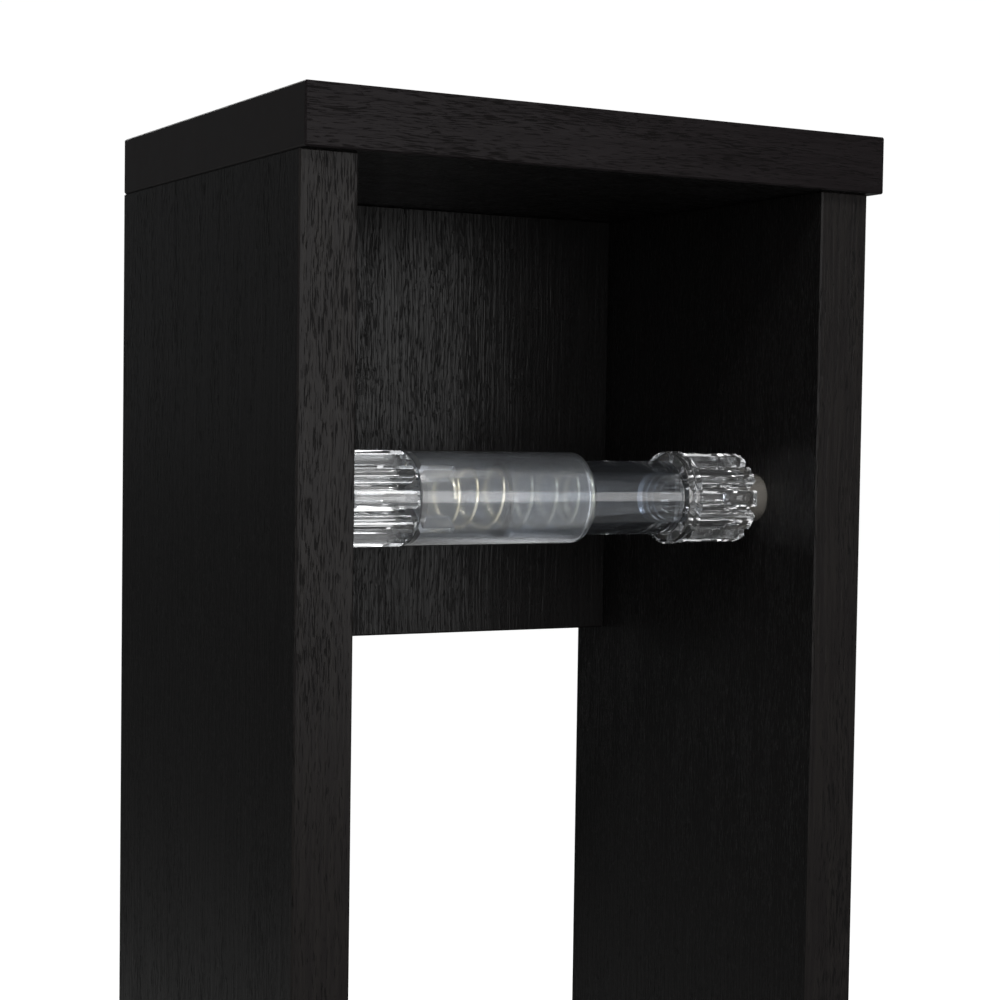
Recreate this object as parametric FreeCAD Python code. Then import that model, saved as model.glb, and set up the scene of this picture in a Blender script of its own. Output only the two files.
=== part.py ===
# Free-standing toilet paper holder: a narrow tower of laminated board with a sprung clear roller.
#
# Two side panels carry a top panel, two back rails and a bottom shelf. Every board edge that can be seen
# wears a thin edge band. Cam locks and dowels hold the boards together, nail-on glides carry them, and a
# two-part clear roller with a spring inside sits in blind sockets in the side panels.
#
# Millimetres. The origin is on the floor under the centre of the top panel: +X to the right, +Y to the
# back, +Z up.

import FreeCAD, Part
import math
import os

V = FreeCAD.Vector

# ---- boards ----
board = 15.0  # thickness of every board
band = 0.5  # thickness of an edge band
arris = 0.4  # softened corner along every board edge
top_width = 168.0
top_depth = 122.0
height = 650.0
front_overhang = 3.0  # top panel past the front edges of the side panels
right_overhang = 3.0  # top panel past the outer face of the right side panel; flush on the left
rail_height = 124.0  # both back rails
shelf_top = 50.0  # upper face of the bottom shelf above the floor
shelf_set_back = 1.5  # shelf front edge behind the side panels' front edges

# ---- glides ----
glide_radius = 6.5
glide_height = 4.0
glide_round = 0.6
glide_inset = 13.0  # glide centre from the front or back edge of its side panel
nail_radius = 1.0
nail_length = 14.0
nail_head_radius = 3.0
nail_head = 1.2
nail_head_cover = 1.6  # plastic under the nail's head

# ---- cam locks ----
cam_radius = 7.4
cam_height = 11.2
cam_hole_clearance = 0.1
cam_gap = 0.1  # under the cam, and between the cam and its cap
cam_set_back = 24.0  # cam centre from the board edge that it pulls in
cap_thickness = 1.0
cap_clearance = 0.05
drive_length = 6.6  # cross recess in the cam
drive_width = 1.3
drive_depth = 2.2
prong_clearance = 0.15
bolt_thread_radius = 3.5
bolt_thread_length = 10.5
bolt_neck_radius = 2.5
bolt_head_radius = 3.5
bolt_head_length = 5.0
bolt_head_round = 1.5
bolt_clearance = 0.3
thread_hole_extra = 0.5  # the threaded hole is this much deeper than the thread

# ---- dowels ----
dowel_radius = 4.0
dowel_long = 20.0  # length in a board's end or edge
dowel_short = 10.0  # length in a board's face
dowel_clearance = 0.05
dowel_end_gap = 0.5
dowel_chamfer = 0.8

# ---- places of the fittings ----
rail_cam_drop = 84.0  # side cam below a rail's top edge
rail_dowel_drop = 34.0  # side dowel below a rail's top edge
top_cam_spread = 70.0  # distance between the two cams that pull the top panel down
top_dowel_inset = 24.0  # dowel from the front or back edge of a side panel
shelf_cam_inset = 26.0  # shelf cam from the shelf's front or back edge
shelf_dowel_spread = 60.0  # distance between the two dowels under the lower rail

# ---- roller ----
axis_drop = 96.5  # roller axis below the upper face of the top panel
axis_inset = 28.0  # roller axis behind the side panels' front edges
pin_radius = 6.4
pin_wall = 1.8
pin_end_wall = 2.4
pin_round = 2.8
pin_reach = 4.7  # how far a pin goes into its socket
socket_clearance = 0.25
socket_depth = 5.0
rib_end_gap = 6.5  # from a side panel to the ribs
sleeve_rib_length = 19.5
plunger_rib_length = 18.5
rib_count = 10
rib_width = 4.3
rib_round = 1.8  # rounded outer end of the ribs
rib_bevel = 1.2  # inner end of the sleeve's ribs, down to its tube
rib_rise = 0.3  # tips of the ribs past the sleeve's tube
rib_root = 1.0  # solid core past the pin, between the ribs
collar_length = 4.5
collar_rise = 2.6  # past the plunger's tube
collar_groove = 0.5
plunger_radius = 9.8
plunger_wall = 1.4
plunger_stop_rise = 0.55  # stop ring past the plunger's tube
plunger_stop_length = 2.0
plunger_engaged = 24.5  # length of the plunger inside the sleeve at rest
plunger_seat = 79.0  # spring seat in the plunger, from the left side panel's inner face
plunger_ledge = 1.3  # width of that seat
running_clearance = 0.1  # plunger in the sleeve's mouth
stop_clearance = 0.15  # stop ring in the sleeve's bore
sleeve_wall = 1.4
sleeve_length = 51.0  # from its ribs to its mouth
mouth_round = 1.2
mouth_lip_length = 1.5
shoulder_wall = 2.2  # wall between a tube's bore and its ribs
seat_rib_count = 4
seat_rib_width = 1.6
seat_rib_length = 9.0
seat_rib_cover = 0.35  # the ribs' inner edges inside the spring's coils

# ---- spring ----
wire_radius = 0.45
spring_clearance = 0.35  # around the coils, in the plunger's bore
spring_turns = 6.5
spring_end_gap = 0.05

# ---- modelling ----
past = 1.0  # how far a cutting tool runs past a face
overlap = 0.2  # how far joined shapes reach into each other
near = 0.01

# ---- worked out ----
left_outer = -top_width / 2
right_outer = top_width / 2 - right_overhang
left_inner = left_outer + board
right_inner = right_outer - board
inner_width = right_inner - left_inner
top_front = -top_depth / 2
back = top_depth / 2
side_front = top_front + front_overhang
side_top = height - board
rail_front = back - board
shelf_front = side_front + shelf_set_back
shelf_bottom = shelf_top - board
upper_rail_bottom = side_top - rail_height
lower_rail_top = shelf_top + rail_height
inner_middle = (left_inner + right_inner) / 2
axis_y = side_front + axis_inset
axis_z = height - axis_drop
plunger_stop_radius = plunger_radius + plunger_stop_rise
plunger_bore_radius = plunger_radius - plunger_wall
sleeve_bore_radius = plunger_stop_radius + stop_clearance
sleeve_radius = sleeve_bore_radius + sleeve_wall
crown_radius = sleeve_radius + rib_rise
collar_radius = plunger_radius + collar_rise
core_radius = pin_radius + rib_root
hub_bore_radius = pin_radius - pin_wall
spring_radius = plunger_bore_radius - spring_clearance - wire_radius  # to the wire's centre
cam_hole_radius = cam_radius + cam_hole_clearance
cam_hole_depth = cam_height + cap_thickness + 2 * cam_gap

RIGHT, LEFT, BACK, UP, DOWN = V(1, 0, 0), V(-1, 0, 0), V(0, 1, 0), V(0, 0, 1), V(0, 0, -1)


# ---- small helpers ----
def box(low, high):
    """Box between two corners."""
    return Part.makeBox(high[0] - low[0], high[1] - low[1], high[2] - low[2], V(*low))


def cylinder(radius, start, direction, length):
    """Cylinder from start along direction."""
    return Part.makeCylinder(radius, length, start, direction)


def fuse(shapes):
    """One solid from overlapping shapes."""
    joined = shapes[0]
    for shape in shapes[1:]:
        joined = joined.fuse(shape)
    return joined.removeSplitter()


def cut(shape, tools):
    """The shape less each tool."""
    for tool in tools:
        shape = shape.cut(tool)
    return shape


def save(name, solids):
    """Writes one sub-part, a solid or a group of separate solids."""
    shape = solids if isinstance(solids, Part.Shape) else Part.makeCompound(solids)
    for solid in shape.Solids:
        if not solid.isValid() or solid.Volume <= 0:
            raise ValueError(name + " has a bad solid")
    shape.exportStep("parts/" + name + ".step")
    print(f"{name:32s} {len(shape.Solids):2d} solid(s) {shape.Volume / 1000:9.2f} cm3")


# ---- fittings ----
class Fittings:
    """Collects the drillings of every board and the fittings that sit in them."""

    def __init__(self):
        self.drillings = {}
        self.groups = {}

    def drill(self, board_name, tool):
        self.drillings.setdefault(board_name, []).append(tool)

    def add(self, group, solid):
        self.groups.setdefault(group, []).append(solid)

    def dowel(self, group, first, second, joint, direction):
        """A dowel across a joint: direction points from the first board's edge into the second's face."""
        start = joint - direction * (dowel_long - dowel_end_gap)
        length = dowel_long + dowel_short - 2 * dowel_end_gap
        peg = cylinder(dowel_radius, start, direction, length)
        self.add(group, peg.makeChamfer(dowel_chamfer, round_edges(peg)))
        hole = dowel_radius + dowel_clearance
        self.drill(first, cylinder(hole, joint - direction * dowel_long, direction, dowel_long + past))
        self.drill(second, cylinder(hole, joint - direction * past, direction, dowel_short + past))

    def cam_lock(self, prefix, own, other, joint, direction, face_normal):
        """A cam in its own board pulls a bolt that is screwed into the other board.

        joint is the bolt's axis where the boards meet, direction points into the other board, and
        face_normal points out of the face that the cam goes in from.
        """
        centre = joint - direction * cam_set_back
        mouth = centre + face_normal * (board / 2)
        floor = mouth - face_normal * cam_hole_depth
        self.drill(own, cylinder(cam_hole_radius, floor, face_normal, cam_hole_depth + past))
        bolt_hole = bolt_head_radius + bolt_clearance
        self.drill(own, cylinder(bolt_hole, centre, direction, cam_set_back + past))
        thread_depth = bolt_thread_length + thread_hole_extra
        thread_hole = bolt_thread_radius + dowel_clearance
        self.drill(other, cylinder(thread_hole, joint - direction * past, direction, thread_depth + past))

        thread = cylinder(bolt_thread_radius, joint, direction, bolt_thread_length)
        neck = cylinder(bolt_neck_radius, centre, direction, cam_set_back)
        head_start = centre - direction * (bolt_head_length / 2)
        head = cylinder(bolt_head_radius, head_start, direction, bolt_head_length)
        head = head.makeFillet(bolt_head_round, round_edges(head))
        self.add(prefix + "_cam_bolts", fuse([thread, neck, head]))

        drum = cylinder(cam_radius, floor + face_normal * cam_gap, face_normal, cam_height)
        slot = bolt_neck_radius + bolt_clearance
        across = face_normal.cross(direction)
        low = centre - face_normal * cam_height
        pocket_radius = bolt_head_radius + 2 * bolt_clearance
        pocket_height = cam_height + bolt_head_radius + bolt_clearance
        pocket = cylinder(pocket_radius, low, face_normal, pocket_height)
        open_slot = prism(low - across * slot, across * (2 * slot), direction * (cam_radius + past),
                          face_normal * (cam_height + slot))
        top = floor + face_normal * (cam_gap + cam_height)
        drive = cross(top, direction, across, face_normal, drive_length, drive_width, drive_depth)
        self.add(prefix + "_cam_locks", cut(drum, [pocket, open_slot] + drive))

        cap_bottom = mouth - face_normal * cap_thickness
        cap = cylinder(cam_hole_radius - cap_clearance, cap_bottom, face_normal, cap_thickness)
        less = 2 * prong_clearance
        prongs = cross(cap_bottom, direction, across, face_normal, drive_length - less,
                       drive_width - less, drive_depth - less)
        self.add(prefix + "_cam_caps", fuse([cap] + prongs))


def prism(corner, u, v, w):
    """Box with its edges along three directions."""
    face = Part.Face(Part.makePolygon([corner, corner + u, corner + u + v, corner + v, corner]))
    return face.extrude(w)


def cross(top, u, v, normal, length, width, depth):
    """Two crossing bars that reach down from a point on a cam's face."""
    bars = []
    for along, side in ((u, v), (v, u)):
        low = top - along * (length / 2) - side * (width / 2) - normal * depth
        bars.append(prism(low, along * length, side * width, normal * (depth + overlap)))
    return bars


def round_edges(shape, axis=None, place=0.0):
    """The circular edges of a cylinder, or only those whose centre is at place along an axis."""
    edges = [edge for edge in shape.Edges if isinstance(edge.Curve, Part.Circle)]
    if axis is None:
        return edges
    return [edge for edge in edges if abs(edge.Curve.Center.dot(axis) - place) < near]


# ---- boards and their edge bands ----
def band_slab(low, high, side):
    """The layer of a board's box that an edge band takes up."""
    low, high = list(low), list(high)
    axis, at_high = {"left": (0, 0), "right": (0, 1), "front": (1, 0), "back": (1, 1),
                     "bottom": (2, 0), "top": (2, 1)}[side]
    if at_high:
        low[axis] = high[axis] - band
    else:
        high[axis] = low[axis] + band
    return box(low, high)


def make_board(name, band_name, low, high, banded, fittings):
    """Writes a board and its edge bands; the first bands in the list run the full length."""
    whole = box(low, high)
    whole = whole.makeChamfer(arris, whole.Edges)
    core = whole
    for side in banded:
        slab = band_slab(low, high, side)
        save(f"{band_name}_{side}_edge_band", core.common(slab))
        core = core.cut(slab)
    save(name, cut(core, fittings.drillings.get(name, [])))


# ---- roller ----
def along(s):
    """A point on the roller's axis, s from the left side panel's inner face."""
    return V(left_inner + s, axis_y, axis_z)


def turned(outline):
    """A solid of revolution about the roller's axis from (s, radius) points."""
    points = [V(left_inner + s, axis_y, axis_z + r) for s, r in outline]
    face = Part.Face(Part.makePolygon(points + [points[0]]))
    return face.revolve(V(left_inner, axis_y, axis_z), RIGHT, 360)


def crown(end, inward, rib_length, bevel):
    """Closed pin and ribs at one end of the roller: end is the pin's tip, inward is +1 from the left."""
    direction = RIGHT * inward
    ribs_start = end + inward * (pin_reach + rib_end_gap)
    ribs_end = ribs_start + inward * rib_length
    pin = cylinder(pin_radius, along(end), direction, pin_reach + rib_end_gap + rib_length)
    pin = pin.makeFillet(pin_round, round_edges(pin, RIGHT, along(end).x))
    core = cylinder(core_radius, along(ribs_start), direction, rib_length)
    bars = []
    for number in range(rib_count):
        corner = along(min(ribs_start, ribs_end)) + V(0, -rib_width / 2, 0)
        bar = Part.makeBox(rib_length, rib_width, crown_radius, corner)
        bar.rotate(along(0), RIGHT, 360.0 * (number + 0.5) / rib_count)
        bars.append(bar)
    envelope = cylinder(crown_radius, along(ribs_start), direction, rib_length)
    envelope = envelope.makeFillet(rib_round, round_edges(envelope, RIGHT, along(ribs_start).x))
    if bevel:
        envelope = envelope.makeChamfer(bevel, round_edges(envelope, RIGHT, along(ribs_end).x))
    return fuse([pin, core] + [bar.common(envelope) for bar in bars])


def collar(start, length):
    """Grooved ring at the inner end of the plunger's ribs."""
    outline = [(start, 0)]
    for ring_start, ring_end in ((start, start + length / 2), (start + length / 2, start + length)):
        outline.append((ring_start, collar_radius - collar_groove))
        outline.append((ring_start + collar_groove, collar_radius))
        outline.append((ring_end - collar_groove, collar_radius))
    outline.append((start + length, collar_radius - collar_groove))
    outline.append((start + length, 0))
    return turned(outline)


def make_roller():
    """Writes the sleeve, the plunger that slides in it and the spring between them."""
    tube_start = rib_end_gap + sleeve_rib_length
    mouth = tube_start + sleeve_length
    bore_floor = tube_start + shoulder_wall
    seat = bore_floor + seat_rib_length
    lip_bore = plunger_radius + running_clearance

    tube = cylinder(sleeve_radius, along(tube_start), RIGHT, sleeve_length)
    tube = tube.makeFillet(mouth_round, round_edges(tube, RIGHT, along(mouth).x))
    body = fuse([crown(-pin_reach, 1, sleeve_rib_length, rib_bevel), tube])
    bore = cylinder(sleeve_bore_radius, along(bore_floor), RIGHT, mouth - mouth_lip_length - bore_floor)
    lip = cylinder(lip_bore, along(bore_floor), RIGHT, mouth + past - bore_floor)
    hub = cylinder(hub_bore_radius, along(pin_end_wall - pin_reach), RIGHT, bore_floor + pin_reach)
    body = cut(body, [bore, lip, hub])
    seats = []
    seat_rib_inner = spring_radius - wire_radius - seat_rib_cover
    web_height = sleeve_bore_radius + overlap - seat_rib_inner
    for number in range(seat_rib_count):
        corner = along(bore_floor - overlap) + V(0, -seat_rib_width / 2, seat_rib_inner)
        web = Part.makeBox(seat_rib_length + overlap, seat_rib_width, web_height, corner)
        web.rotate(along(0), RIGHT, 360.0 * (number + 0.5) / seat_rib_count)
        seats.append(web)
    save("roller_sleeve", fuse([body] + seats))

    far_end = inner_width + pin_reach
    ribs_inner = inner_width - rib_end_gap - plunger_rib_length
    flange = ribs_inner - collar_length
    inner_end = mouth - plunger_engaged
    stem = cylinder(plunger_radius, along(inner_end), RIGHT, flange - inner_end)
    stop = cylinder(plunger_stop_radius, along(inner_end), RIGHT, plunger_stop_length)
    body = fuse([crown(far_end, -1, plunger_rib_length, 0), collar(flange, collar_length), stem, stop])
    bore = cylinder(plunger_bore_radius, along(inner_end - past), RIGHT, plunger_seat - inner_end + past)
    step_radius = plunger_bore_radius - plunger_ledge
    step = cylinder(step_radius, along(inner_end), RIGHT, ribs_inner - shoulder_wall - inner_end)
    hub = cylinder(hub_bore_radius, along(inner_end), RIGHT, far_end - pin_end_wall - inner_end)
    save("roller_plunger", cut(body, [bore, step, hub]))

    first = seat + spring_end_gap + wire_radius
    length = plunger_seat - spring_end_gap - wire_radius - first
    pitch = length / spring_turns
    helix = Part.makeHelix(pitch, length, spring_radius)
    tangent = V(0, 2 * math.pi * spring_radius, pitch)
    wire_end = Part.Wire(Part.makeCircle(wire_radius, V(spring_radius, 0, 0), tangent))
    coil = Part.Wire(helix.Edges).makePipeShell([wire_end], True, True)
    coil.rotate(V(0, 0, 0), V(0, 1, 0), 90)
    coil.translate(along(first))
    save("roller_spring", coil)
    print(f"plunger travel before the spring seat {inner_end - seat:.2f} mm")


# ---- glides ----
def make_glides():
    """Writes a nail-on glide under each end of each side panel, and their nails."""
    nails = []
    for side, x in (("left", left_outer + board / 2), ("right", right_outer - board / 2)):
        for end, y in (("front", side_front + glide_inset), ("back", back - glide_inset)):
            foot = V(x, y, 0)
            pad = cylinder(glide_radius, foot, UP, glide_height)
            pad = pad.makeFillet(glide_round, round_edges(pad, UP, 0.0))
            shank = cylinder(nail_radius, foot + UP * nail_head_cover, UP, nail_length)
            head = cylinder(nail_head_radius, foot + UP * nail_head_cover, UP, nail_head)
            nail = fuse([shank, head])
            nails.append(nail)
            save(f"glide_{end}_{side}", pad.cut(nail))
    save("glide_nails", nails)
    return nails


# ---- the whole holder ----
def place_fittings():
    """Works out every dowel, cam and bolt, and the holes that they need."""
    fittings = Fittings()
    sides = (("left_side_panel", left_inner, LEFT), ("right_side_panel", right_inner, RIGHT))
    mid_rail = back - board / 2
    mid_shelf = shelf_bottom + board / 2
    for side, face, direction in sides:
        middle = face + direction.x * board / 2
        for y in (side_front + top_dowel_inset, back - top_dowel_inset):
            fittings.dowel("top_dowels", side, "top_panel", V(middle, y, side_top), UP)
        for rail, top in (("upper", side_top), ("lower", lower_rail_top)):
            cam_at = V(face, mid_rail, top - rail_cam_drop)
            fittings.cam_lock(rail + "_rail", rail + "_back_rail", side, cam_at, direction, BACK)
            peg_at = V(face, mid_rail, top - rail_dowel_drop)
            fittings.dowel(rail + "_rail_dowels", rail + "_back_rail", side, peg_at, direction)
        for y in (shelf_front + shelf_cam_inset, back - shelf_cam_inset):
            cam_at = V(face, y, mid_shelf)
            fittings.cam_lock("shelf", "bottom_shelf", side, cam_at, direction, DOWN)
        peg_at = V(face, (shelf_front + back) / 2, mid_shelf)
        fittings.dowel("shelf_dowels", "bottom_shelf", side, peg_at, direction)
        socket_start = V(face, axis_y, axis_z) - direction * past
        socket_radius = pin_radius + socket_clearance
        fittings.drill(side, cylinder(socket_radius, socket_start, direction, socket_depth + past))
    for sign in (-1, 1):
        cam_at = V(inner_middle + sign * top_cam_spread / 2, mid_rail, side_top)
        fittings.cam_lock("upper_rail", "upper_back_rail", "top_panel", cam_at, UP, BACK)
        peg_at = V(inner_middle + sign * shelf_dowel_spread / 2, mid_rail, shelf_top)
        fittings.dowel("lower_rail_dowels", "lower_back_rail", "bottom_shelf", peg_at, DOWN)
    return fittings


def main():
    os.makedirs("parts", exist_ok=True)
    fittings = place_fittings()
    for nail in make_glides():
        x = nail.BoundBox.Center.x
        fittings.drill("left_side_panel" if x < 0 else "right_side_panel", nail)

    make_board("top_panel", "top", (left_outer, top_front, side_top), (top_width / 2, back, height),
               ("front", "back", "left", "right"), fittings)
    make_board("left_side_panel", "left_side", (left_outer, side_front, glide_height),
               (left_inner, back, side_top), ("front", "back"), fittings)
    make_board("right_side_panel", "right_side", (right_inner, side_front, glide_height),
               (right_outer, back, side_top), ("front", "back"), fittings)
    make_board("upper_back_rail", "upper_rail", (left_inner, rail_front, upper_rail_bottom),
               (right_inner, back, side_top), ("bottom",), fittings)
    make_board("lower_back_rail", "lower_rail", (left_inner, rail_front, shelf_top),
               (right_inner, back, lower_rail_top), ("top",), fittings)
    make_board("bottom_shelf", "shelf", (left_inner, shelf_front, shelf_bottom),
               (right_inner, back, shelf_top), ("front", "back"), fittings)
    for name, solids in sorted(fittings.groups.items()):
        save(name, solids)
    make_roller()


main()
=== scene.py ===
import bpy
import math
from mathutils import Matrix, Vector


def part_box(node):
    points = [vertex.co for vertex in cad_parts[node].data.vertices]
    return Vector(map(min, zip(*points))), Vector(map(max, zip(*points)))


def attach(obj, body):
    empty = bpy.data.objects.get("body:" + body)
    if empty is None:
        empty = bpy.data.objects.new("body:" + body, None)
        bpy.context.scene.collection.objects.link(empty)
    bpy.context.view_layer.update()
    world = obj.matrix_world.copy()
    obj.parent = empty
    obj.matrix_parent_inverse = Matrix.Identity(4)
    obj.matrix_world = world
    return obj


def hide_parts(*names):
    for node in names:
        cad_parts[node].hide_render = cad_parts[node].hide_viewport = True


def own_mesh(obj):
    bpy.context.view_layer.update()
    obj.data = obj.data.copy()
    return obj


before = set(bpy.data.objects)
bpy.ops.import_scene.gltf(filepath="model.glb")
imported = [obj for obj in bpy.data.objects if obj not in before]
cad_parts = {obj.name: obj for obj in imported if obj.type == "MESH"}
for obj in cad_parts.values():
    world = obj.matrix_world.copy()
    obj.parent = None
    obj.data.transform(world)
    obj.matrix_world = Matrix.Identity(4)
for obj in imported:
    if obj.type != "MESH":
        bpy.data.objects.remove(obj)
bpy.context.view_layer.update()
mm = 0.001
print("frame loaded:", len(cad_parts), "nodes")


# small tools

def linearColour(hexCode):
    parts = [int(hexCode[i:i + 2], 16) / 255 for i in (0, 2, 4)]
    return tuple(c / 12.92 if c <= 0.04045 else ((c + 0.055) / 1.055) ** 2.4 for c in parts) + (1.0,)


def addNode(tree, kind, inputs=None, links=None, **settings):
    node = tree.nodes.new(kind)
    for name, value in settings.items():
        setattr(node, name, value)
    for name, value in (inputs or {}).items():
        node.inputs[name].default_value = value
    for name, socket in (links or {}).items():
        tree.links.new(socket, node.inputs[name])
    return node


def newMaterial(name):
    material = bpy.data.materials.new(name)
    material.use_nodes = True
    material.node_tree.nodes.clear()
    return material, material.node_tree


def finishMaterial(tree, shader):
    addNode(tree, "ShaderNodeOutputMaterial", links={"Surface": shader.outputs["BSDF"]})


def stretchedPlace(tree, spacing):
    # Object coordinates counted in steps of spacing, three lengths in mm
    place = addNode(tree, "ShaderNodeTexCoord")
    scale = tuple(1 / (step * mm) for step in spacing)
    return addNode(tree, "ShaderNodeMapping", {"Scale": scale}, {"Vector": place.outputs["Object"]})


def noisePattern(tree, spacing, detail, shift=(0.0, 0.0, 0.0)):
    place = stretchedPlace(tree, spacing)
    place.inputs["Location"].default_value = shift
    return addNode(tree, "ShaderNodeTexNoise", {"Scale": 1.0, "Detail": detail, "Roughness": 0.5},
                   {"Vector": place.outputs["Vector"]})


def ramp(tree, socket, low, high, lowValue=0.0, highValue=1.0):
    return addNode(tree, "ShaderNodeMapRange",
                   {"From Min": low, "From Max": high, "To Min": lowValue, "To Max": highValue},
                   {"Value": socket}, interpolation_type="SMOOTHSTEP")


def blendColours(tree, amount, first, second):
    mix = addNode(tree, "ShaderNodeMix", links={0: amount}, data_type="RGBA")
    for index, colour in ((6, first), (7, second)):
        if isinstance(colour, tuple):
            mix.inputs[index].default_value = colour
        else:
            tree.links.new(colour, mix.inputs[index])
    return mix.outputs[2]


def maths(tree, operation, first, second):
    node = addNode(tree, "ShaderNodeMath", operation=operation)
    for index, value in enumerate((first, second)):
        if isinstance(value, (int, float)):
            node.inputs[index].default_value = value
        else:
            tree.links.new(value, node.inputs[index])
    return node.outputs[0]


# materials

grain = {
    "poreWidth": 0.28,  # all widths and lengths in mm
    "poreLength": 4.4,
    "poreDullness": 0.26,  # how much rougher a pore is than the land beside it
    "fibreWidth": 1.1,
    "fibreLength": 42.0,
    "fibreHeight": 0.3,  # share of the press depth
    "clusterWidth": 6.0,  # pores gather in bands
    "clusterLength": 60.0,
    "clusterPull": 0.06,  # how far a band shifts the share of pores
    "wander": 1.3,  # how far the grain drifts sideways
    "wanderWidth": 24.0,
    "wanderLength": 34.0,
    "pressDepth": 0.12,  # depth of the press plate's pattern
}


def embossedLaminate(name, axis, base="171616", pore="121111", ridge="1a1919", strength=1.0,
                     roughness=0.27, specular=0.17, poreShare=0.53):
    # Melamine-faced board pressed against an embossed steel plate: open oak pores sunk in a low-sheen
    # black film. The pores stay dull and dark, and the lands between them catch the light.
    material, tree = newMaterial(name)

    def spread(across, along):
        steps = [across, across, across]
        steps[axis] = along
        return tuple(steps)

    drift = noisePattern(tree, spread(grain["wanderWidth"], grain["wanderLength"]), detail=1.0)
    push = addNode(tree, "ShaderNodeVectorMath", {1: (0.5, 0.5, 0.5)}, {0: drift.outputs["Color"]},
                   operation="SUBTRACT")
    amount = [grain["wander"] * 2] * 3
    amount[axis] = 0.0

    def grainNoise(width, length, detail, rough, seed):
        place = stretchedPlace(tree, spread(width, length))
        place.inputs["Location"].default_value = (seed, seed * 1.7, seed * 0.6)
        scaled = addNode(tree, "ShaderNodeVectorMath", {1: tuple(a / width for a in amount)},
                         {0: push.outputs[0]}, operation="MULTIPLY")
        moved = addNode(tree, "ShaderNodeVectorMath",
                        links={0: place.outputs["Vector"], 1: scaled.outputs[0]}, operation="ADD")
        return addNode(tree, "ShaderNodeTexNoise", {"Scale": 1.0, "Detail": detail, "Roughness": rough},
                       {"Vector": moved.outputs[0]}).outputs["Fac"]

    poreNoise = grainNoise(grain["poreWidth"], grain["poreLength"], 2.0, 0.55, 3.1)
    fibreNoise = grainNoise(grain["fibreWidth"], grain["fibreLength"], 2.0, 0.6, 11.7)
    clusterNoise = grainNoise(grain["clusterWidth"], grain["clusterLength"], 2.0, 0.5, 23.0)
    threshold = ramp(tree, clusterNoise, 0.3, 0.7, grain["clusterPull"], -grain["clusterPull"])
    shifted = maths(tree, "ADD", poreNoise, threshold.outputs[0])
    pores = ramp(tree, shifted, poreShare + 0.03, poreShare + 0.1).outputs[0]
    fibres = ramp(tree, fibreNoise, 0.36, 0.66).outputs[0]

    ground = blendColours(tree, fibres, linearColour(base), linearColour(ridge))
    colour = blendColours(tree, pores, ground, linearColour(pore))
    depth = maths(tree, "SUBTRACT", maths(tree, "MULTIPLY", fibres, grain["fibreHeight"]), pores)
    bump = addNode(tree, "ShaderNodeBump", {"Strength": strength, "Distance": grain["pressDepth"] * mm},
                   {"Height": depth})
    dull = ramp(tree, pores, 0.0, 1.0, roughness, roughness + grain["poreDullness"]).outputs[0]
    shader = addNode(tree, "ShaderNodeBsdfPrincipled", {"IOR": 1.46, "Specular IOR Level": specular},
                     {"Base Color": colour, "Roughness": dull, "Normal": bump.outputs[0]})
    finishMaterial(tree, shader)
    return material


def smoothEdgeTape():
    # Extruded ABS edge tape: even, slightly warm black with the faint waviness of a rolled strip
    material, tree = newMaterial("smoothBlackAbsTape")
    wave = noisePattern(tree, (9.0, 9.0, 9.0), detail=3.0)
    speck = noisePattern(tree, (0.35, 0.35, 0.35), detail=1.0)
    colour = blendColours(tree, ramp(tree, wave.outputs["Fac"], 0.35, 0.65).outputs[0],
                          linearColour("1a1717"), linearColour("1e1b1b"))
    height = maths(tree, "ADD", wave.outputs["Fac"], maths(tree, "MULTIPLY", speck.outputs["Fac"], 0.15))
    bump = addNode(tree, "ShaderNodeBump", {"Strength": 0.12, "Distance": 0.05 * mm}, {"Height": height})
    rough = ramp(tree, wave.outputs["Fac"], 0.3, 0.7, 0.42, 0.5).outputs[0]
    shader = addNode(tree, "ShaderNodeBsdfPrincipled", {"IOR": 1.5, "Specular IOR Level": 0.34},
                     {"Base Color": colour, "Roughness": rough, "Normal": bump.outputs[0]})
    finishMaterial(tree, shader)
    return material


def clearPolystyrene(name, haze, tint, clearness, glaze, ringing):
    # Injection-moulded general-purpose polystyrene: clear with a cool cast, a high gloss, long shallow
    # flow lines along the part, and a light haze from fine scratches
    material, tree = newMaterial(name)
    flow = noisePattern(tree, (9.0, 1.4, 1.4), detail=3.0)
    rings = noisePattern(tree, (0.35, 14.0, 14.0), detail=2.0, shift=(5.0, 2.0, 9.0))
    height = maths(tree, "ADD", flow.outputs["Fac"], maths(tree, "MULTIPLY", rings.outputs["Fac"], ringing))
    bump = addNode(tree, "ShaderNodeBump", {"Strength": 0.1, "Distance": 0.05 * mm}, {"Height": height})
    rough = ramp(tree, rings.outputs["Fac"], 0.35, 0.7, haze, haze * 1.25).outputs[0]
    shader = addNode(tree, "ShaderNodeBsdfPrincipled",
                     {"Base Color": linearColour(tint), "IOR": 1.49, "Transmission Weight": clearness,
                      "Coat Weight": glaze, "Coat Roughness": 0.32},
                     {"Roughness": rough, "Normal": bump.outputs[0]})
    finishMaterial(tree, shader)
    return material


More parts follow.
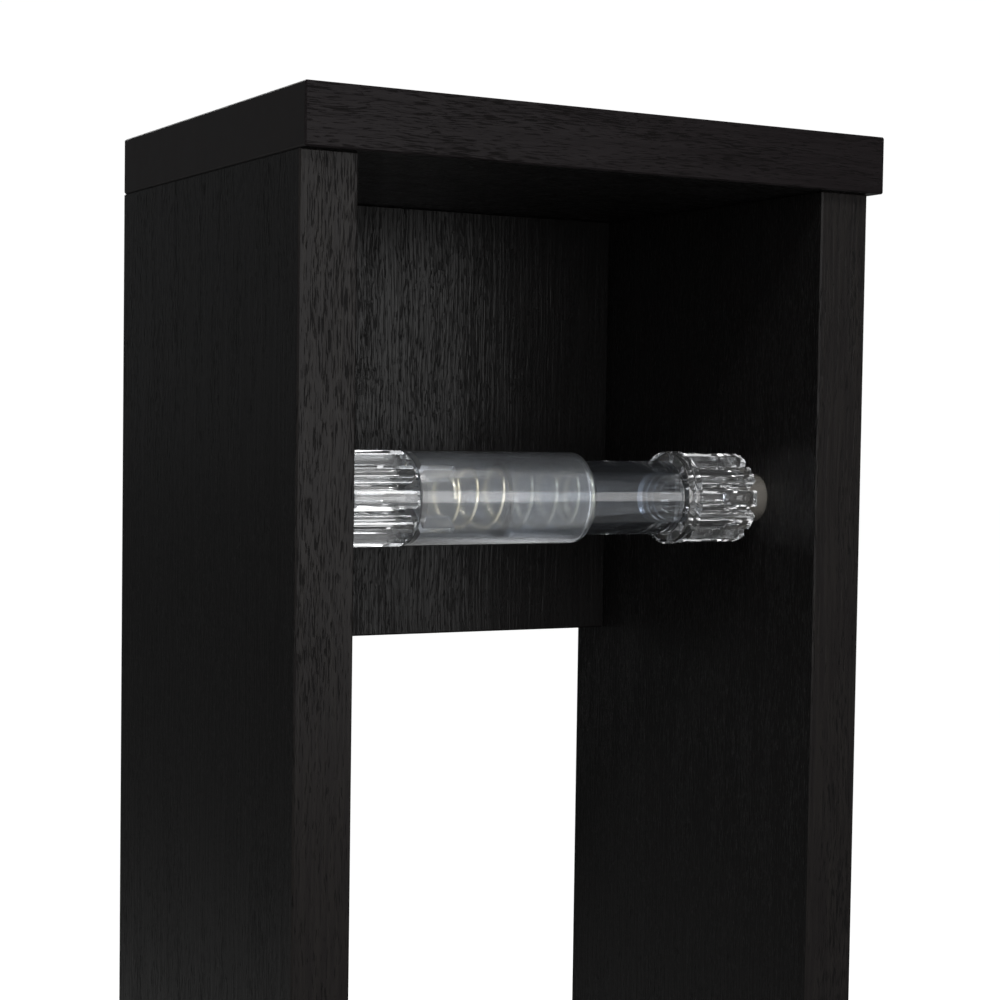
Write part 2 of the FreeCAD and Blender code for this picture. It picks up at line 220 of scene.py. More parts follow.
def drawnMetal(name, colour, shade, roughness, length=6.0, width=0.12):
    # Drawn wire, plated steel or cast zinc: bright metal whose highlights break into fine lines, or into
    # grains on the casting, with slightly uneven plating
    material, tree = newMaterial(name)
    lines = noisePattern(tree, (length, width, width), detail=2.0)
    patches = noisePattern(tree, (4.0, 4.0, 4.0), detail=3.0)
    mixed = blendColours(tree, ramp(tree, patches.outputs["Fac"], 0.35, 0.7).outputs[0],
                         linearColour(colour), linearColour(shade))
    bump = addNode(tree, "ShaderNodeBump", {"Strength": 0.15, "Distance": 0.02 * mm},
                   {"Height": lines.outputs["Fac"]})
    rough = ramp(tree, lines.outputs["Fac"], 0.3, 0.7, roughness, roughness + 0.12).outputs[0]
    shader = addNode(tree, "ShaderNodeBsdfPrincipled", {"Metallic": 1.0},
                     {"Base Color": mixed, "Roughness": rough, "Normal": bump.outputs[0]})
    finishMaterial(tree, shader)
    return material


def mouldedBlackPlastic(name, colour, shade, roughness):
    # Moulded polypropylene from a spark-eroded mould: an even, matt black with a grain of about 0.2 mm,
    # and soft highlights with no clear reflection
    material, tree = newMaterial(name)
    texture = noisePattern(tree, (0.2, 0.2, 0.2), detail=2.0)
    patches = noisePattern(tree, (5.0, 5.0, 5.0), detail=2.0)
    mixed = blendColours(tree, ramp(tree, patches.outputs["Fac"], 0.3, 0.7).outputs[0],
                         linearColour(colour), linearColour(shade))
    bump = addNode(tree, "ShaderNodeBump", {"Strength": 0.25, "Distance": 0.03 * mm},
                   {"Height": texture.outputs["Fac"]})
    rough = ramp(tree, texture.outputs["Fac"], 0.3, 0.7, roughness, roughness + 0.1).outputs[0]
    shader = addNode(tree, "ShaderNodeBsdfPrincipled", {"IOR": 1.49},
                     {"Base Color": mixed, "Roughness": rough, "Normal": bump.outputs[0]})
    finishMaterial(tree, shader)
    return material


def turnedBeech():
    # Dowel rod in plain beech: pale pinkish wood with short brown ray flecks
    material, tree = newMaterial("turnedBeech")
    rings = noisePattern(tree, (9.0, 1.2, 1.2), detail=3.0)
    flecks = noisePattern(tree, (2.2, 0.3, 0.3), detail=2.0)
    wood = blendColours(tree, ramp(tree, rings.outputs["Fac"], 0.35, 0.65).outputs[0],
                        linearColour("d9b68c"), linearColour("c39a6c"))
    colour = blendColours(tree, ramp(tree, flecks.outputs["Fac"], 0.62, 0.72).outputs[0],
                          wood, linearColour("8f633d"))
    bump = addNode(tree, "ShaderNodeBump", {"Strength": 0.3, "Distance": 0.05 * mm},
                   {"Height": flecks.outputs["Fac"]})
    shader = addNode(tree, "ShaderNodeBsdfPrincipled", {"Roughness": 0.62},
                     {"Base Color": colour, "Normal": bump.outputs[0]})
    finishMaterial(tree, shader)
    return material


grainUp = 2  # the axis that the grain runs along
grainAcross = 0
uprightLaminate = embossedLaminate("embossedLaminateUpright", grainUp)
uprightTape = embossedLaminate("embossedTapeUpright", grainUp, base="1b1919", pore="0c0b0b", ridge="201e1d",
                               strength=0.6, specular=0.09, poreShare=0.54)
levelLaminate = embossedLaminate("embossedLaminateLevel", grainAcross)
levelTape = embossedLaminate("embossedTapeLevel", grainAcross, base="181516", pore="0d0b0b", ridge="1c191a",
                             strength=0.4, specular=0.05, poreShare=0.52)
smoothTape = smoothEdgeTape()
tubePlastic = clearPolystyrene("clearPolystyreneTube", haze=0.15, tint="dfe3e8", clearness=0.965,
                               glaze=0.9, ringing=0.05)
stemPlastic = clearPolystyrene("clearPolystyreneStem", haze=0.08, tint="d6dce4", clearness=0.993,
                               glaze=0.12, ringing=0.5)
# painted light: the pin's plastic is milkier and warm-tinted so it reads lighter in the panel's shade, a
# painted highlight with a painted brown reflection
pinPlasticPaintedLight = clearPolystyrene("clearPolystyrenePinPaintedLight", haze=0.2, tint="dcd6cc", clearness=0.82,
                              glaze=0.5, ringing=0.1)
crownPlastic = clearPolystyrene("clearPolystyreneCrown", haze=0.02, tint="f4f5f6", clearness=0.98,
                                glaze=0.2, ringing=0.1)
springSteel = drawnMetal("drawnSpringSteel", "fbf1d8", "e6d8b0", roughness=0.14)
platedSteel = drawnMetal("zincPlatedSteel", "c9cccf", "a9adb1", roughness=0.3)
castZinc = drawnMetal("castZinc", "b4b6b8", "94979a", roughness=0.42, length=1.2, width=1.2)
capPlastic = mouldedBlackPlastic("mouldedBlackCap", "191818", "201f1f", roughness=0.45)
glidePlastic = mouldedBlackPlastic("mouldedBlackGlide", "1c1c1d", "262627", roughness=0.5)
beech = turnedBeech()
print("materials made")


# the boards and fittings that keep their shape

boardFinishes = {
    "top_panel": levelLaminate,
    "top_front_edge_band": levelTape,
    "top_back_edge_band": levelTape,
    "top_left_edge_band": smoothTape,
    "top_right_edge_band": smoothTape,
    "left_side_panel": uprightLaminate,
    "right_side_panel": uprightLaminate,
    "left_side_front_edge_band": uprightTape,
    "right_side_front_edge_band": uprightTape,
    "left_side_back_edge_band": uprightTape,
    "right_side_back_edge_band": uprightTape,
    "upper_back_rail": uprightLaminate,
    "lower_back_rail": uprightLaminate,
    "upper_rail_bottom_edge_band": levelTape,
    "lower_rail_top_edge_band": levelTape,
    "bottom_shelf": levelLaminate,
    "shelf_front_edge_band": levelTape,
    "shelf_back_edge_band": levelTape,
    "glide_nails": platedSteel,
}


def paintNode(name, material):
    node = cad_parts[name]
    node.data.materials.clear()
    node.data.materials.append(material)


for name, material in boardFinishes.items():
    paintNode(name, material)
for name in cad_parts:
    if name.endswith("_dowels"):
        paintNode(name, beech)
    elif name.endswith("_cam_bolts"):
        paintNode(name, platedSteel)
    elif name.endswith("_cam_locks"):
        paintNode(name, castZinc)
print("boards finished")


# modelling tools

nearlyUp = 0.9  # a face normal that leans up to 25 degrees
straightUp = 0.999
closeEnough = 1e-6

def restingObject():
    if bpy.context.object and bpy.context.object.mode != "OBJECT":
        bpy.ops.object.mode_set(mode="OBJECT")
    bpy.ops.object.select_all(action="DESELECT")


def settlePiece(piece, name, material, body, smoothAngle):
    restingObject()
    piece.select_set(True)
    bpy.context.view_layer.objects.active = piece
    bpy.ops.object.transform_apply(location=True, rotation=True, scale=True)
    piece.name = name
    piece.data.name = name
    piece.data.materials.clear()
    piece.data.materials.append(material)
    bpy.ops.object.shade_smooth_by_angle(angle=math.radians(smoothAngle))
    piece.select_set(False)
    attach(piece, body)
    return piece


def pickFaces(piece, test):
    # by how far they face up; marked in object mode, ready for edit mode to work on
    bpy.ops.object.mode_set(mode="EDIT")
    bpy.ops.mesh.select_mode(type="FACE")
    bpy.ops.mesh.select_all(action="DESELECT")
    bpy.ops.object.mode_set(mode="OBJECT")
    for polygon in piece.data.polygons:
        polygon.select = test(polygon.normal.z)
    bpy.ops.object.mode_set(mode="EDIT")


def copyPiece(piece, place, turn=(0, 0, 0)):
    copy = piece.copy()
    copy.data = piece.data.copy()
    bpy.context.collection.objects.link(copy)
    copy.location = place
    copy.rotation_euler = turn
    return copy


def uniteWith(piece, other):
    joined = piece.modifiers.new("unite", "BOOLEAN")
    joined.operation = "UNION"
    joined.solver = "EXACT"
    joined.object = other
    restingObject()
    bpy.context.view_layer.objects.active = piece
    bpy.ops.object.modifier_apply(modifier="unite")
    bpy.data.objects.remove(other)


# the roller's places

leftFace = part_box("left_side_panel")[1].x
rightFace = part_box("right_side_panel")[0].x
sleeveLow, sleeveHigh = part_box("roller_sleeve")
plungerLow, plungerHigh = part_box("roller_plunger")
axisY = (sleeveLow.y + sleeveHigh.y) / 2  # its ribs lie evenly about the axis from front to back
axisZ = (plungerLow.z + plungerHigh.z) / 2  # its round collar is the tallest part

roller = {
    "points": 200,  # around the axis, 20 for each rib
    "ribs": 10,
    "ribWidth": 4.3,
    "ribTip": 12.2,
    "ribRoot": 7.4,
    "ribCorner": 0.35,  # how far the tip's corners are eased
    "ribCornerReach": 1.6,
    "ribRound": 1.8,  # rounded outer end
    "ribBevel": 1.2,  # inner end of the sleeve's ribs
    "ribsFrom": 6.5,  # all lengths count from the side panel's face
    "pinReach": 4.7,
    "pinRadius": 6.4,
    "pinRound": 2.8,
    "pinEase": 0.1,
    "hubRadius": 4.6,
    "hubEnd": -2.3,
    "smoothAngle": 28,
}
sleeve = {
    "ribsTo": 26.0,
    "radius": 11.9,
    "shoulder": 0.5,
    "mouth": 77.0,
    "mouthRound": 1.2,
    "mouthEase": 0.2,
    "lipLength": 1.5,
    "lipBore": 9.9,
    "bore": 10.5,
    "boreFloor": 28.2,
    "seat": 37.2,
    "webs": 4,
    "webWidth": 1.6,
    "webInner": 6.8,
    "webSunk": 0.4,  # into the wall and the floor of the bore
}
plunger = {
    "ribsTo": 25.0,
    "collarTo": 29.5,
    "collarRadius": 12.4,
    "collarGroove": 0.5,
    "fillet": 0.4,
    "radius": 9.8,
    "stopFrom": 80.5,
    "stopRadius": 10.35,
    "stopEase": 0.3,
    "innerEnd": 82.5,
    "bore": 8.4,
    "springSeat": 56.0,
    "ledgeBore": 7.1,
    "boreFloor": 27.2,
}


# a turned piece grows ring by ring, and its ribs are pulled out of a ring by their angle

def startTurning(faceX, inward):
    # the first ring is the flat at the pin's tip
    place = -roller["pinReach"]
    radius = roller["pinRadius"] - roller["pinRound"] - roller["pinEase"]
    steps = roller["points"] // roller["ribs"] // 2 + 1
    turned = {"faceX": faceX, "inward": inward, "place": place, "radii": [radius] * steps}
    restingObject()
    bpy.ops.mesh.primitive_circle_add(vertices=roller["points"], radius=radius * mm, fill_type="NOTHING",
                                      location=(placeX(turned, place), axisY, axisZ),
                                      rotation=(0, math.pi / 2, 0))
    turned["piece"] = bpy.context.object
    bpy.ops.object.transform_apply(location=True, rotation=True, scale=True)
    bpy.ops.object.mode_set(mode="EDIT")
    bpy.ops.mesh.select_all(action="SELECT")
    return turned


def placeX(turned, place):
    return turned["faceX"] + turned["inward"] * place * mm


def ribStep(co):
    # how many points of the circle lie between this point and the middle of its rib
    perRib = roller["points"] // roller["ribs"]
    turn = math.atan2(co.z - axisZ, axisY - co.y) / (2 * math.pi)
    index = round(turn * roller["points"]) % perRib
    return min(index, perRib - index)


def growRing(turned, factor):
    bpy.ops.transform.resize(value=(1, factor, factor),
                             center_override=(placeX(turned, turned["place"]), axisY, axisZ))


def pickPoints(piece, chosen):
    for vertex in piece.data.vertices:
        vertex.select = vertex.index in chosen
    for edge in piece.data.edges:
        edge.select = edge.vertices[0] in chosen and edge.vertices[1] in chosen
    for polygon in piece.data.polygons:
        polygon.select = False
    bpy.ops.object.mode_set(mode="EDIT")


def addRing(turned, place, radius):
    # radius is one number, or a function of the step away from a rib's middle
    piece = turned["piece"]
    target = [radius(step) if callable(radius) else radius for step in range(len(turned["radii"]))]
    move = (placeX(turned, place) - placeX(turned, turned["place"]), 0, 0)
    bpy.ops.mesh.extrude_region_move(TRANSFORM_OT_translate={"value": move})
    factors = [new / old for new, old in zip(target, turned["radii"])]
    turned["place"] = place
    turned["radii"] = target
    if max(factors) - min(factors) < closeEnough:
        growRing(turned, factors[0])
        return
    bpy.ops.object.mode_set(mode="OBJECT")
    newest = {vertex.index for vertex in piece.data.vertices if vertex.select}
    spots = {index: ribStep(piece.data.vertices[index].co) for index in newest}
    for step, factor in enumerate(factors):
        if abs(factor - 1) > closeEnough:
            pickPoints(piece, {index for index in newest if spots[index] == step})
            growRing(turned, factor)
            bpy.ops.object.mode_set(mode="OBJECT")
    pickPoints(piece, newest)


def addArc(turned, place, radius, quarter, fromAngle, toAngle, count=5):
    # rings along a rounded corner; its centre is at (place, radius), angle 90 points outwards
    for number in range(count + 1):
        angle = math.radians(fromAngle + (toAngle - fromAngle) * number / count)
        addRing(turned, place + quarter * math.cos(angle), radius + quarter * math.sin(angle))


def closeEnds():
    # flat face at the newest ring, another at the first
    bpy.ops.mesh.edge_face_add()
    bpy.ops.mesh.select_all(action="DESELECT")
    bpy.ops.mesh.select_non_manifold()
    bpy.ops.mesh.edge_face_add()
    bpy.ops.mesh.select_all(action="SELECT")
    bpy.ops.mesh.remove_doubles(threshold=closeEnough)
    bpy.ops.mesh.normals_make_consistent(inside=False)
    bpy.ops.object.mode_set(mode="OBJECT")


def ribSection(step):
    # parallel flanks: the radius that puts this step half a rib's width from the rib's middle plane
    angle = 2 * math.pi * step / roller["points"]
    flank = roller["ribWidth"] / 2 / math.sin(angle) if step else roller["ribTip"]
    radius = min(roller["ribTip"], flank)
    if step and flank < roller["ribTip"] + roller["ribCornerReach"]:
        radius = min(radius, roller["ribTip"] - roller["ribCorner"])
    return max(radius, roller["ribRoot"])


def pinAndRibs(turned, ribsTo, bevel):
    pinRound = roller["pinRound"]
    addArc(turned, -roller["pinReach"] + pinRound, roller["pinRadius"] - pinRound, pinRound, 180, 90, 6)
    addRing(turned, roller["ribsFrom"], roller["pinRadius"])
    inset = roller["ribTip"] - roller["ribRound"]
    for number in range(6):
        angle = math.radians(90 * number / 5)
        limit = inset + roller["ribRound"] * math.sin(angle)
        place = roller["ribsFrom"] + roller["ribRound"] * (1 - math.cos(angle))
        addRing(turned, place, lambda step: min(ribSection(step), limit))
    addRing(turned, ribsTo - bevel, ribSection)
    if bevel:
        addRing(turned, ribsTo, lambda step: min(ribSection(step), roller["ribTip"] - bevel))


def makeSleeve():
    turned = startTurning(leftFace, 1)
    pinAndRibs(turned, sleeve["ribsTo"], roller["ribBevel"])
    shoulder = sleeve["shoulder"]
    addRing(turned, sleeve["ribsTo"], sleeve["radius"] - shoulder)
    addArc(turned, sleeve["ribsTo"] + shoulder, sleeve["radius"] - shoulder, shoulder, 180, 90, 3)
    mouth = sleeve["mouth"]
    rounding = sleeve["mouthRound"]
    addArc(turned, mouth - rounding, sleeve["radius"] - rounding, rounding, 90, 0)
    addRing(turned, mouth, sleeve["lipBore"] + sleeve["mouthEase"])
    addRing(turned, mouth - sleeve["mouthEase"], sleeve["lipBore"])
    addRing(turned, mouth - sleeve["lipLength"], sleeve["lipBore"])
    addRing(turned, mouth - sleeve["lipLength"], sleeve["bore"])
    addRing(turned, sleeve["boreFloor"], sleeve["bore"])
    addRing(turned, sleeve["boreFloor"], roller["hubRadius"])
    addRing(turned, roller["hubEnd"], roller["hubRadius"])
    closeEnds()
    body = turned["piece"]
    web = makeWeb()
    for number in range(sleeve["webs"]):
        turn = 2 * math.pi * (number + 0.5) / sleeve["webs"]
        uniteWith(body, copyPiece(web, (0, axisY, axisZ), (turn, 0, 0)))
    bpy.data.objects.remove(web)
    return body


def makeWeb():
    # a thin fin that stands in the bore for the spring's end to rest on, made on the roller's own axis
    outer = sleeve["bore"] + sleeve["webSunk"]
    length = sleeve["seat"] - sleeve["boreFloor"] + sleeve["webSunk"]
    restingObject()
    bpy.ops.mesh.primitive_cube_add(size=mm, scale=(length, sleeve["webWidth"], outer - sleeve["webInner"]),
                                    location=(leftFace + (sleeve["seat"] - length / 2) * mm, 0,
                                              (outer + sleeve["webInner"]) / 2 * mm))
    bpy.ops.object.transform_apply(location=True, rotation=True, scale=True)
    return bpy.context.object


def makePlunger():
    turned = startTurning(rightFace, -1)
    pinAndRibs(turned, plunger["ribsTo"], 0)
    groove = plunger["collarGroove"]
    middle = (plunger["ribsTo"] + plunger["collarTo"]) / 2
    for ringFrom, ringTo in ((plunger["ribsTo"], middle), (middle, plunger["collarTo"])):
        low = plunger["collarRadius"] - groove
        if turned["place"] < ringFrom or max(turned["radii"]) != low:
            addRing(turned, ringFrom, low)
        addArc(turned, ringFrom + groove, low, groove, 180, 90, 3)
        addArc(turned, ringTo - groove, low, groove, 90, 0, 3)
    fillet = plunger["fillet"]
    addRing(turned, plunger["collarTo"], plunger["radius"] + fillet)
    addArc(turned, plunger["collarTo"] + fillet, plunger["radius"] + fillet, -fillet, 0, 90, 3)
    addRing(turned, plunger["stopFrom"], plunger["radius"])
    addRing(turned, plunger["stopFrom"] + plunger["stopEase"], plunger["stopRadius"])
    addRing(turned, plunger["innerEnd"] - plunger["stopEase"], plunger["stopRadius"])
    addRing(turned, plunger["innerEnd"], plunger["stopRadius"] - plunger["stopEase"])
    addRing(turned, plunger["innerEnd"], plunger["bore"])
    addRing(turned, plunger["springSeat"], plunger["bore"])
    addRing(turned, plunger["springSeat"], plunger["ledgeBore"])
    addRing(turned, plunger["boreFloor"], plunger["ledgeBore"])
    addRing(turned, plunger["boreFloor"], roller["hubRadius"])
    addRing(turned, roller["hubEnd"], roller["hubRadius"])
    closeEnds()
    return turned["piece"]


def finishEnd(piece, faceX, inward, crownTo):
    # the thick ribbed end is clearer than the tube, and the pin's milkier, warm-tinted plastic is painted
    # light: a painted highlight and a painted brown reflection that lighten it in the panel's shade
    piece.data.materials.append(crownPlastic)
    piece.data.materials.append(pinPlasticPaintedLight)
    for polygon in piece.data.polygons:
        place = (polygon.center.x - faceX) * inward / mm
        if place < roller["ribsFrom"]:
            polygon.material_index = 2
        elif place < crownTo:
            polygon.material_index = 1


rollerSleeve = settlePiece(makeSleeve(), "rollerSleeve", tubePlastic, "sleeve",
                           roller["smoothAngle"])
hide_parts("roller_sleeve")
finishEnd(rollerSleeve, leftFace, 1, sleeve["ribsTo"])
rollerPlunger = settlePiece(makePlunger(), "rollerPlunger", stemPlastic, "plunger",
                            roller["smoothAngle"])
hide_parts("roller_plunger")
finishEnd(rollerPlunger, rightFace, -1, plunger["collarTo"])
print("roller tubes turned")


# the spring: one closed coil at each end, open coils between

spring = {
    "wireRadius": 0.45,
    "radius": 7.6,
    "turnPlaces": (0.0, 1.1, 6.2, 13.7, 21.6, 28.9, 35.5, 39.6, 40.9),  # mm from its seat, a coil apart
    "pointsPerTurn": 28,
    "travel": 15.0,
    "smoothAngle": 50,
}


def springPath(start):
    # a coil is closed at each end, and the open ones are never quite evenly spaced
    places = spring["turnPlaces"]
    points = []
    for number in range((len(places) - 1) * spring["pointsPerTurn"] + 1):
        turn = min(number // spring["pointsPerTurn"], len(places) - 2)
        part = number / spring["pointsPerTurn"] - turn
        here, there = places[turn], places[turn + 1]
        leaving = (there - places[max(turn - 1, 0)]) / 2
        arriving = (places[min(turn + 2, len(places) - 1)] - here) / 2
        along = start + here + (there - here) * part * part * (3 - 2 * part)
        along += leaving * part * (1 - part) ** 2 - arriving * part * part * (1 - part)
        angle = 2 * math.pi * part
        points.append((leftFace + along * mm, axisY - spring["radius"] * mm * math.cos(angle),
                       axisZ + spring["radius"] * mm * math.sin(angle)))
    return points


def makeSpring():
    restingObject()
    line = bpy.data.curves.new("springLine", "CURVE")
    line.dimensions = "3D"
    path = line.splines.new("POLY")
    points = springPath(sleeve["seat"] + spring["wireRadius"])
    path.points.add(len(points) - 1)
    for point, co in zip(path.points, points):
        point.co = (*co, 1)
    line.bevel_depth = spring["wireRadius"] * mm
    line.bevel_resolution = 3
    line.use_fill_caps = True
    wire = bpy.data.objects.new("springLine", line)
    bpy.context.collection.objects.link(wire)
    wire.select_set(True)
    bpy.context.view_layer.objects.active = wire
    bpy.ops.object.convert(target="MESH")
    return bpy.context.object


rollerSpring = settlePiece(makeSpring(), "rollerSpring", springSteel, "sleeve",
                           spring["smoothAngle"])
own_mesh(rollerSpring)
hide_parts("roller_spring")
print("spring wound")


# cover caps over the cam locks

cap = {
    "points": 64,
    "thickness": 1.0,
    "prong": (6.3, 1.0),
    "prongSunk": 0.2,  # into the disc
    "rim": 0.9,
    "dish": 0.18,  # the middle sits this far under the rim
    "dishSlope": 0.3,
    "edge": 0.25,
    "smoothAngle": 30,
}


def solidBoxes(node):
    # the boxes of a node's separate solids, found by walking its loose triangles
    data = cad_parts[node].data
    keys = {}
    parent = {}

    def find(key):
        while parent[key] != key:
            parent[key] = parent[parent[key]]
            key = parent[key]
        return key

    for vertex in data.vertices:
        key = tuple(round(c, 6) for c in vertex.co)
        keys[vertex.index] = key
        parent.setdefault(key, key)
    for polygon in data.polygons:
        first = find(keys[polygon.vertices[0]])
        for index in polygon.vertices[1:]:
            parent[find(keys[index])] = first
    groups = {}
    for key in parent:
        groups.setdefault(find(key), []).append(key)
    boxes = []
    for points in groups.values():
        low = Vector([min(p[i] for p in points) for i in range(3)])
        high = Vector([max(p[i] for p in points) for i in range(3)])
        boxes.append((low, high))
    return sorted(boxes, key=lambda b: tuple(b[0]))


def makeCap(radius, depth):
    # facing up with its outer face at height 0: an eased rim, a dished middle, a cross-shaped prong below
    restingObject()
    bpy.ops.mesh.primitive_cylinder_add(vertices=cap["points"], radius=radius, depth=cap["thickness"] * mm,
                                        location=(0, 0, -cap["thickness"] / 2 * mm))
    disc = bpy.context.object
    bpy.ops.object.transform_apply(location=True, rotation=True, scale=True)
    pickFaces(disc, lambda up: up > nearlyUp)
    bpy.ops.mesh.bevel(offset=cap["edge"] * mm, segments=3, affect="EDGES")
    pickFaces(disc, lambda up: up > straightUp)
    bpy.ops.mesh.inset(thickness=cap["rim"] * mm)
    bpy.ops.mesh.inset(thickness=cap["dishSlope"] * mm, depth=-cap["dish"] * mm)
    prongDepth = depth / mm - cap["thickness"]
    middle = -(cap["thickness"] + prongDepth / 2 - cap["prongSunk"] / 2) * mm
    for width, length in (cap["prong"], cap["prong"][::-1]):
        restingObject()
        bpy.ops.mesh.primitive_cube_add(size=mm, location=(0, 0, middle),
                                        scale=(width, length, prongDepth + cap["prongSunk"]))
        prong = bpy.context.object
        bpy.ops.object.transform_apply(location=True, rotation=True, scale=True)
        uniteWith(disc, prong)
    return disc


def joinPieces(pieces):
    restingObject()
    for piece in pieces:
        piece.select_set(True)
    bpy.context.view_layer.objects.active = pieces[0]
    bpy.ops.object.join()
    return bpy.context.object


def capPlace(low, high, axis, sign):
    place = (low + high) / 2
    place[axis] = high[axis] if sign > 0 else low[axis]
    return place


firstLow, firstHigh = solidBoxes("upper_rail_cam_caps")[0]
modelCap = makeCap((firstHigh.x - firstLow.x) / 2, firstHigh.y - firstLow.y)
facingBack = (-math.pi / 2, 0, 0)
facingDown = (math.pi, 0, 0)
for node, name, axis, sign, turn in (("upper_rail_cam_caps", "upperRailCaps", 1, 1, facingBack),
                                     ("lower_rail_cam_caps", "lowerRailCaps", 1, 1, facingBack),
                                     ("shelf_cam_caps", "shelfCaps", 2, -1, facingDown)):
    caps = [copyPiece(modelCap, capPlace(low, high, axis, sign), turn) for low, high in solidBoxes(node)]
    settled = settlePiece(joinPieces(caps), name, capPlastic, "stand", cap["smoothAngle"])
    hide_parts(node)
bpy.data.objects.remove(modelCap)
print("caps pressed in")


# nail-on glides

glide = {
    "points": 64,
    "heelRound": 0.9,
    "topEdge": 0.3,
    "dimple": 1.6,  # radius of the gate mark under the nail's head
    "dimpleDepth": 0.25,
    "dimpleSlope": 0.3,
    "smoothAngle": 35,
}


def makeGlide(radius, height):
    # a turned pad with its heel rounded, standing on height 0
    restingObject()
    bpy.ops.mesh.primitive_cylinder_add(vertices=glide["points"], radius=radius, depth=height,
                                        location=(0, 0, height / 2))
    pad = bpy.context.object
    bpy.ops.object.transform_apply(location=True, rotation=True, scale=True)
    pickFaces(pad, lambda up: up < -nearlyUp)
    bpy.ops.mesh.bevel(offset=glide["heelRound"] * mm, segments=4, affect="EDGES")
    pickFaces(pad, lambda up: up > nearlyUp)
    bpy.ops.mesh.bevel(offset=glide["topEdge"] * mm, segments=2, affect="EDGES")
    pickFaces(pad, lambda up: up < -straightUp)
    bpy.ops.mesh.inset(thickness=radius - (glide["heelRound"] + glide["dimple"]) * mm)
    bpy.ops.mesh.inset(thickness=glide["dimpleSlope"] * mm, depth=-glide["dimpleDepth"] * mm)
    bpy.ops.object.mode_set(mode="OBJECT")
    return pad


firstLow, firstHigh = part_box("glide_front_left")
modelGlide = makeGlide((firstHigh.x - firstLow.x) / 2, firstHigh.z - firstLow.z)
for node, name in (("glide_front_left", "glideFrontLeft"), ("glide_back_left", "glideBackLeft"),
                   ("glide_front_right", "glideFrontRight"), ("glide_back_right", "glideBackRight")):
    low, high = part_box(node)
    pad = copyPiece(modelGlide, ((low.x + high.x) / 2, (low.y + high.y) / 2, low.z))
    settled = settlePiece(pad, name, glidePlastic, "stand", glide["smoothAngle"])
    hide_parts(node)
bpy.data.objects.remove(modelGlide)
print("glides nailed on")


# floor, light and camera

studio = {
    "floorSize": 60.0,  # wide enough to have no edge in sight
    "floorGlow": 0.97,
    "skyForSight": 1.02,
    "skyForLight": 0.1,
}


def seenDirectly(tree):
    # the backdrop is white to the eye and through the clear plastic, and adds little light of its own
    rays = addNode(tree, "ShaderNodeLightPath")
    return maths(tree, "MAXIMUM", rays.outputs["Is Camera Ray"], rays.outputs["Is Transmission Ray"])


def paleFloor():
    # Seamless background paper: matt and evenly pale, with no edge or grain in sight, and clear from below
    restingObject()
    bpy.ops.mesh.primitive_plane_add(size=studio["floorSize"], location=(0, 0, 0))
    floor = bpy.context.object
    floor.name = "studioFloor"
    material, tree = newMaterial("paleSeamlessPaper")
    glow = maths(tree, "MULTIPLY", seenDirectly(tree), studio["floorGlow"])
    shader = addNode(tree, "ShaderNodeBsdfPrincipled",
                     {"Base Color": linearColour("aaaaa9"), "Roughness": 0.85, "Specular IOR Level": 0.2,
                      "Emission Color": linearColour("ffffff")}, {"Emission Strength": glow})
    below = addNode(tree, "ShaderNodeNewGeometry")
    clear = addNode(tree, "ShaderNodeBsdfTransparent")
    sheet = addNode(tree, "ShaderNodeMixShader",
                    links={0: below.outputs["Backfacing"], 1: shader.outputs[0], 2: clear.outputs[0]})
    addNode(tree, "ShaderNodeOutputMaterial", links={"Surface": sheet.outputs[0]})
    floor.data.materials.append(material)


softboxes = {
    "softboxFront": {"place": (0.22, -1.48, 0.67), "aim": (0, 0, 0.55), "size": (1.15, 0.65), "power": 9.6},
    "stripFront": {"place": (-0.2, -0.9, 1.5), "aim": (0, 0, 0.5), "size": (1.0, 0.22), "power": 7},
    "softboxTop": {"place": (0.0, -0.5, 1.9), "aim": (0, 0, 0.4), "size": (1.2, 1.0), "power": 8},
    "softboxSide": {"place": (1.5, 0.35, 0.85), "aim": (0, 0, 0.4), "size": (0.9, 0.9), "power": 8},
    "softboxRear": {"place": (0.45, 1.5, 0.9), "aim": (0, 0, 0.4), "size": (0.9, 0.9), "power": 9},
    "stripLeft": {"place": (-1.3, -1.0, 0.75), "aim": (0, 0, 0.5), "size": (0.2, 0.9), "power": 4.5},
}


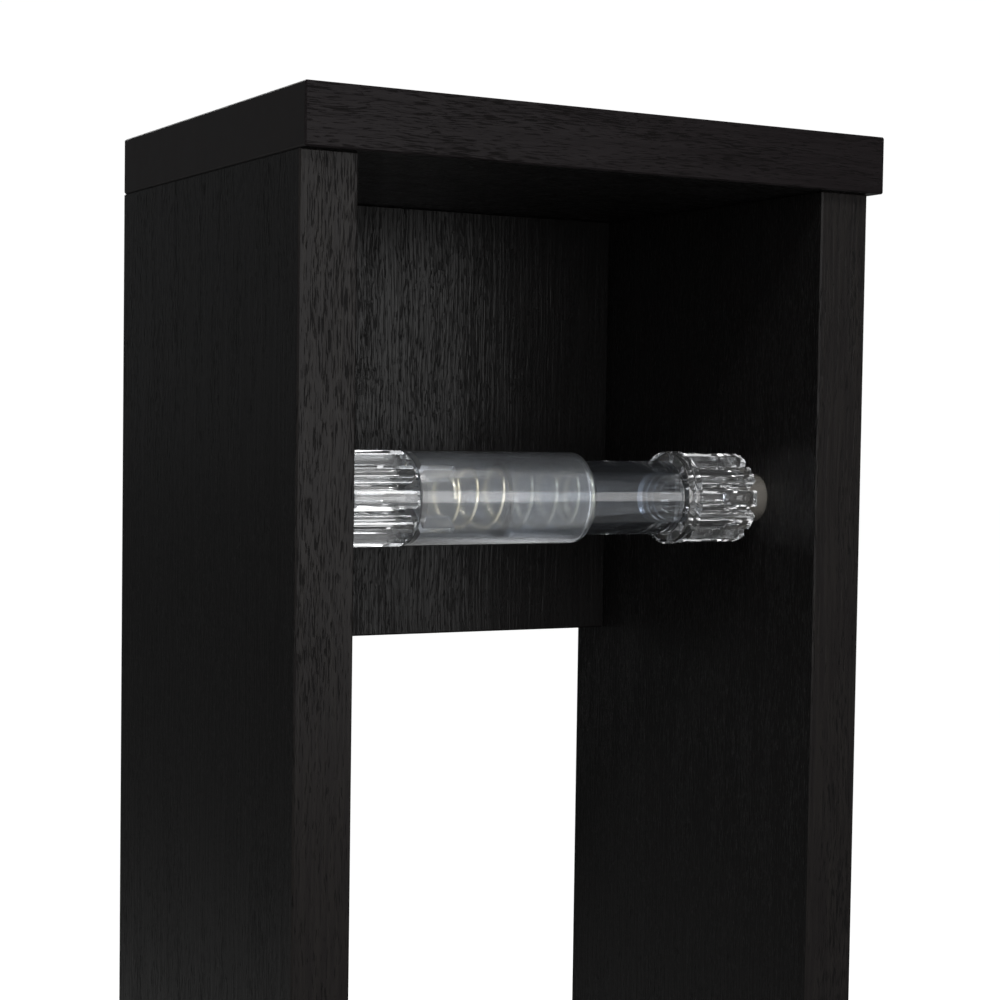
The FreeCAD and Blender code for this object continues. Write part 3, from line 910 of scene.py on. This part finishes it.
def softbox(name, place, aim, size, power):
    restingObject()
    bpy.ops.object.light_add(type="AREA", location=place)
    light = bpy.context.object
    light.name = name
    light.data.shape = "RECTANGLE"
    light.data.size, light.data.size_y = size
    light.data.energy = power
    light.rotation_euler = (Vector(aim) - Vector(place)).to_track_quat("-Z", "Y").to_euler()


def studioSky():
    world = bpy.data.worlds.new("studioSky")
    bpy.context.scene.world = world
    world.use_nodes = True
    tree = world.node_tree
    tree.nodes.clear()
    seen = addNode(tree, "ShaderNodeBackground",
                   {"Color": linearColour("ffffff"), "Strength": studio["skyForSight"]})
    lit = addNode(tree, "ShaderNodeBackground",
                  {"Color": linearColour("fafdff"), "Strength": studio["skyForLight"]})
    mix = addNode(tree, "ShaderNodeMixShader",
                  links={0: seenDirectly(tree), 1: lit.outputs[0], 2: seen.outputs[0]})
    addNode(tree, "ShaderNodeOutputWorld", links={"Surface": mix.outputs[0]})


camera = {
    "place": (-0.2849, -0.5085, 0.5703),
    "yaw": -28.88,
    "down": 2.62,
    "roll": 0.81,
    "lens": 76.79,
    "shiftX": 0.0236,
    "shiftY": 0.03,
    "sensor": 36.0,
    "near": 0.01,
    "far": 200.0,
}


def addCamera():
    data = bpy.data.cameras.new("studioCamera")
    eye = bpy.data.objects.new("studioCamera", data)
    bpy.context.collection.objects.link(eye)
    data.sensor_width = camera["sensor"]
    data.lens = camera["lens"]
    data.shift_x = camera["shiftX"]
    data.shift_y = camera["shiftY"]
    data.clip_start = camera["near"]
    data.clip_end = camera["far"]
    turn = Matrix.Rotation(math.radians(camera["yaw"]), 4, "Z")
    turn = turn @ Matrix.Rotation(math.radians(90 - camera["down"]), 4, "X")
    turn = turn @ Matrix.Rotation(math.radians(camera["roll"]), 4, "Z")
    eye.matrix_world = Matrix.Translation(camera["place"]) @ turn
    bpy.context.scene.camera = eye


paleFloor()
studioSky()
for name, settings in softboxes.items():
    softbox(name, **settings)
addCamera()
bpy.context.scene.view_settings.view_transform = "Standard"
print("studio lit")
